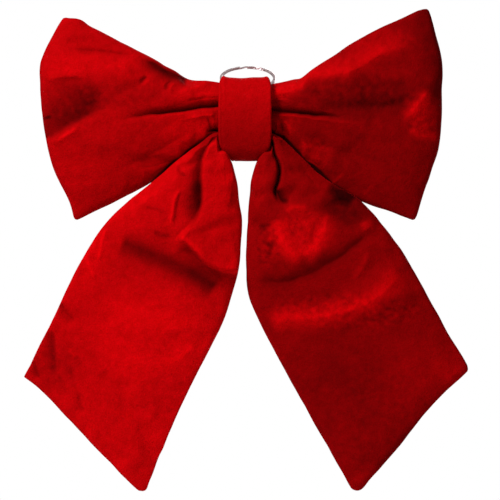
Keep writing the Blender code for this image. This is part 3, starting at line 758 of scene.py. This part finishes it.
def tail(name, outline, folds, patches, shade, seed, finish):
    """One padded tail, gathered under the knot and flat at its slanted end."""
    s, t = grid(*TAIL_GRID)
    x, z = shaped(outline["inner"], outline["outer"], outline["end"], s, t)
    middle = mix(*TAIL_MIDDLE, smoothstep(*TAIL_MIDDLE_ZS, z))
    across = np.maximum(0, 1 - np.abs(2 * t - 1) ** TAIL_ROUNDING) ** 0.5
    closed = np.maximum(0, 1 - s**TAIL_END_ROUNDING) ** 0.5
    fullness = across * closed * smoothstep(*TAIL_OPENING, s)
    front = mix(TAIL_FRONT, TAIL_END_FRONT, smoothstep(*TAIL_THINNING_ZS, z))
    front += relief(x, z, TAIL_FRONT_RELIEF, seed)
    hidden = smoothstep(*HIDDEN_XS, np.abs(x)) * smoothstep(*HIDDEN_ZS, z)
    front = mix(front, UNDER_BAND, hidden)
    front = np.maximum(0, fullness * (front + relief(x, z, TAIL_FINE_RELIEF, seed + 5)))
    back = fullness * (TAIL_BACK + relief(x, z, TAIL_BACK_RELIEF, seed + 9))
    sunk, painted_shade = folds_and_painted_shade(x, z, folds, patches, shade, seed)
    x, z = wavy(x, z, seed)
    return finished_case(name, x, z, middle, front, back, sunk, painted_shade, finish)


# ---- Knot ----

def band_section(half):
    """(x, thickness share) round the band: two flat faces joined by folded edges."""
    radius = BAND / 2
    flat = np.linspace(radius - half, half - radius, BAND_FLAT_POINTS)
    bend = np.radians(np.linspace(90, -90, BAND_BEND_POINTS)[1:-1])
    right = [(half - radius + radius * math.cos(a), math.sin(a)) for a in bend]
    outer = [(x, 1.0) for x in flat]
    inner = [(x, -1.0) for x in flat[::-1]]
    left = [(-x, -share) for x, share in right]
    return outer + right + inner + left


def swell(place, middle, width):
    """1 at the middle, falling softly to 0 over about twice the width."""
    return math.exp(-(((place - middle) / width) ** 2))


def band_relief(x, y, z, half):
    """How far the band's outer face stands proud: soft unevenness, rucks at its top and a seam."""
    at_top = swell(z, BAND_TOP_Z, BAND_TOP_REACH)
    proud = BAND_UNEVENNESS * noise.noise((x / 7, z / 5, y / 9))
    for middle, width, height in BAND_RUCKS:
        proud += at_top * height * swell(x, middle, width)
    proud -= BAND_SEAM_DEPTH * swell(x, BAND_SEAM_FROM_EDGE - half, BAND_SEAM_WIDTH)
    return proud


def band(name, finish):
    """The folded strip round the middle, with soft folded edges and a stitched line by one edge."""
    path = SmoothPath(BAND_PATH)
    shares = np.linspace(0, 1, BAND_LENGTHWISE + 1)
    here = path.at(shares)
    before = path.at(np.maximum(0, shares - BAND_LOOK_AHEAD))
    after = path.at(np.minimum(1, shares + BAND_LOOK_AHEAD))
    along = (after - before)[:, :2]
    along = along / np.linalg.norm(along, axis=1)[:, None]
    points = []
    stuffing = sum(
        depth * (smoothstep(rise, full, shares) - smoothstep(fall, end, shares))
        for rise, full, fall, end, depth in BAND_STUFFING
    )
    for (y, z, half), (along_y, along_z), stuffed_out in zip(here, along, stuffing):
        for x, share in band_section(half):
            away = share * BAND / 2
            away += share * (band_relief(x, y, z, half) if share > 0 else stuffed_out)
            points.append((x, y - along_z * away, z + along_y * away))
    around = len(points) // len(shares)
    made = new_object(name, points, tube_faces(BAND_LENGTHWISE, around), finish, sharp_deg=50)
    # Painted shade: the band is darker towards its bottom, which faces away from the light.
    lower = smoothstep(*BAND_SHADE_ZS, np.array(points)[:, 2])
    set_painted_shade(made, mix(KNOT_TOP_SHADE, KNOT_BOTTOM_SHADE, lower))
    return made


def core(name, finish):
    """The ribbon's spare ends, rolled up behind and below the gathered loops."""
    lengthwise, around = CORE_GRID
    outline = SmoothPath(CORE_OUTLINE).at(np.arange(around) / around) - CORE_CENTRE
    points = []
    for across in np.linspace(-1, 1, lengthwise + 1):
        size = mix(CORE_END_SIZE, 1, (1 - across**CORE_ROUNDING) ** 0.5)
        for y, z in CORE_CENTRE + size * outline:
            points.append((across * CORE_HALF_WIDTH, y, z))
    made = new_object(name, points, tube_faces(lengthwise, around), finish)
    # Painted shade: the core, tucked behind and below the loops, is coloured dark all over.
    set_painted_shade(made, np.full(len(points), CORE_SHADE))
    return made


def tube_faces(lengthwise, around):
    faces = []
    for i in range(lengthwise):
        for j in range(around):
            k = (j + 1) % around
            a, b = i * around, (i + 1) * around
            faces.append((a + j, a + k, b + k, b + j))
    faces.append(tuple(range(around)))
    faces.append(tuple(reversed(range(lengthwise * around, (lengthwise + 1) * around))))
    return faces


# ---- Ring ----

def squarish(value):
    """A unit circle's coordinate, pushed out towards a square so that the wire has flat sides."""
    return math.copysign(abs(value) ** 0.5, value)


def ring(name, finish):
    """Two turns of flat wire that step from one layer to the other near the top."""
    count, around = RING_GRID
    lean = np.array(Matrix.Rotation(math.radians(RING_LEAN_DEG), 3, "X"))
    middle = np.array(RING_HINGE) + (RING_SIDEWAYS, 0, 0)
    section = [(math.cos(a), math.sin(a)) for a in np.linspace(0, math.tau, around, endpoint=False)]
    points = []
    for turn in np.linspace(RING_STEP_ANGLE, 2 * math.tau - RING_STEP_ANGLE, count + 1):
        layer = smoothstep(math.tau - RING_STEP_ANGLE, math.tau + RING_STEP_ANGLE, turn)
        angle = turn + RING_STEP_PLACE
        for c, s in section:
            radius = RING_RADIUS + squarish(c) * RING_WIRE_WIDTH / 2
            up = squarish(s) * RING_WIRE_THICKNESS / 2 + RING_PITCH * (layer - 0.5)
            flat = (-radius * math.sin(angle), RING_TO_BAND - radius * math.cos(angle), up)
            points.append(middle + lean @ np.array(flat))
    return new_object(name, points, tube_faces(count, around), finish, sharp_deg=50)


# ---- Studio ----

def add_camera():
    camera = bpy.data.objects.new("camera", bpy.data.cameras.new("camera"))
    camera.data.sensor_width = SENSOR
    camera.data.lens = SENSOR * CAMERA_DISTANCE / FRAME_WIDTH
    x, y, z = CAMERA_AIM
    camera.location = Vector((x, y - CAMERA_DISTANCE, z)) * MM
    camera.rotation_euler = (math.radians(90), 0, 0)
    bpy.context.scene.collection.objects.link(camera)
    bpy.context.scene.camera = camera
    bpy.context.scene.view_settings.view_transform = "Standard"


def add_world():
    """White to the camera and dimmer to the bow, a little brighter in its reflections."""
    world = bpy.data.worlds.new("world")
    bpy.context.scene.world = world
    world.use_nodes = True
    tree = world.node_tree
    background = tree.nodes["Background"]
    background.inputs["Color"].default_value = (1, 1, 1, 1)
    rays = tree.nodes.new("ShaderNodeLightPath")
    glossy = math_node(tree, "MULTIPLY_ADD", rays.outputs["Is Glossy Ray"], WORLD_GLOSS, WORLD_LIGHT)
    strength = math_node(tree, "MAXIMUM", rays.outputs["Is Camera Ray"], glossy)
    tree.links.new(strength, background.inputs["Strength"])


def add_lights():
    for name, place, size, power in LIGHTS:
        light = bpy.data.objects.new(name, bpy.data.lights.new(name, "AREA"))
        light.data.size = size * MM
        light.data.energy = power
        light.location = Vector(place) * MM
        aim = Vector(LIGHT_AIM) * MM - light.location
        light.rotation_euler = aim.to_track_quat("-Z", "Y").to_euler()
        bpy.context.scene.collection.objects.link(light)


def add_floor():
    bm = bmesh.new()
    bmesh.ops.create_circle(bm, cap_ends=True, segments=FLOOR_SEGMENTS, radius=FLOOR_RADIUS * MM)
    mesh = bpy.data.meshes.new("floor")
    bm.to_mesh(mesh)
    bm.free()
    made = bpy.data.objects.new("floor", mesh)
    made.location = Vector(FLOOR_PLACE) * MM
    finish, _, shader = new_material("floor")
    shader.inputs["Base Color"].default_value = FLOOR_COLOUR
    shader.inputs["Roughness"].default_value = 0.7
    mesh.materials.append(finish)
    bpy.context.scene.collection.objects.link(made)


# ---- The bow ----

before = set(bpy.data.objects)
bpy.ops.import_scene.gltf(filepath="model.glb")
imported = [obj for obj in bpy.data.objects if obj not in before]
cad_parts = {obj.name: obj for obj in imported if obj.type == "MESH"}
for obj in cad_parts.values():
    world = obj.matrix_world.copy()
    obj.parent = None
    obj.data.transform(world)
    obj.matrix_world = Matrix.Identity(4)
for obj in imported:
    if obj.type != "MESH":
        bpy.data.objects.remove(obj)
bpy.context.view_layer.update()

red_velvet = velvet("red_velvet")
steel = metal("ring_steel")
thread = thread_material("sewing_thread")

left_loop = loop(
    "left_loop", LEFT_LOOP, LEFT_TAIL, LEFT_LOOP_FOLDS, LEFT_LOOP_PILE_AND_SHADE,
    LEFT_LOOP_SHADE, LEFT_LOOP_SEED, red_velvet,
)
right_loop = loop(
    "right_loop", RIGHT_LOOP, RIGHT_TAIL, RIGHT_LOOP_FOLDS, RIGHT_LOOP_PILE_AND_SHADE,
    RIGHT_LOOP_SHADE, RIGHT_LOOP_SEED, red_velvet,
)
left_tail = tail(
    "left_tail_velvet", LEFT_TAIL, LEFT_TAIL_FOLDS, LEFT_TAIL_PILE_AND_SHADE,
    LEFT_TAIL_SHADE, LEFT_TAIL_SEED, red_velvet,
)
right_tail = tail(
    "right_tail_velvet", RIGHT_TAIL, RIGHT_TAIL_FOLDS, RIGHT_TAIL_PILE_AND_SHADE,
    RIGHT_TAIL_SHADE, RIGHT_TAIL_SEED, red_velvet,
)
knot = band("knot_velvet", red_velvet)
knot_core = core("knot_core_velvet", red_velvet)
split_ring = ring("ring_wire", steel)

for piece in (left_loop, right_loop, knot, knot_core):
    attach(piece, "bow")
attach(split_ring, "ring")
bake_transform(left_tail)
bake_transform(right_tail)

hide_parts("loop_front_panel", "loop_back_panel", "loop_padding")
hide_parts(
    "left_tail_front_panel", "left_tail_back_panel", "left_tail_padding", "left_tail_gather",
)
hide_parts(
    "right_tail_front_panel", "right_tail_back_panel", "right_tail_padding",
    "right_tail_gather",
)
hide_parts("knot_band", "knot_padding")
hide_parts("knot_core")
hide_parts("split_ring")
for name in ("gather_thread", "knot_stitching"):
    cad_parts[name].material_slots[0].material = thread

add_floor()
add_camera()
add_world()
add_lights()
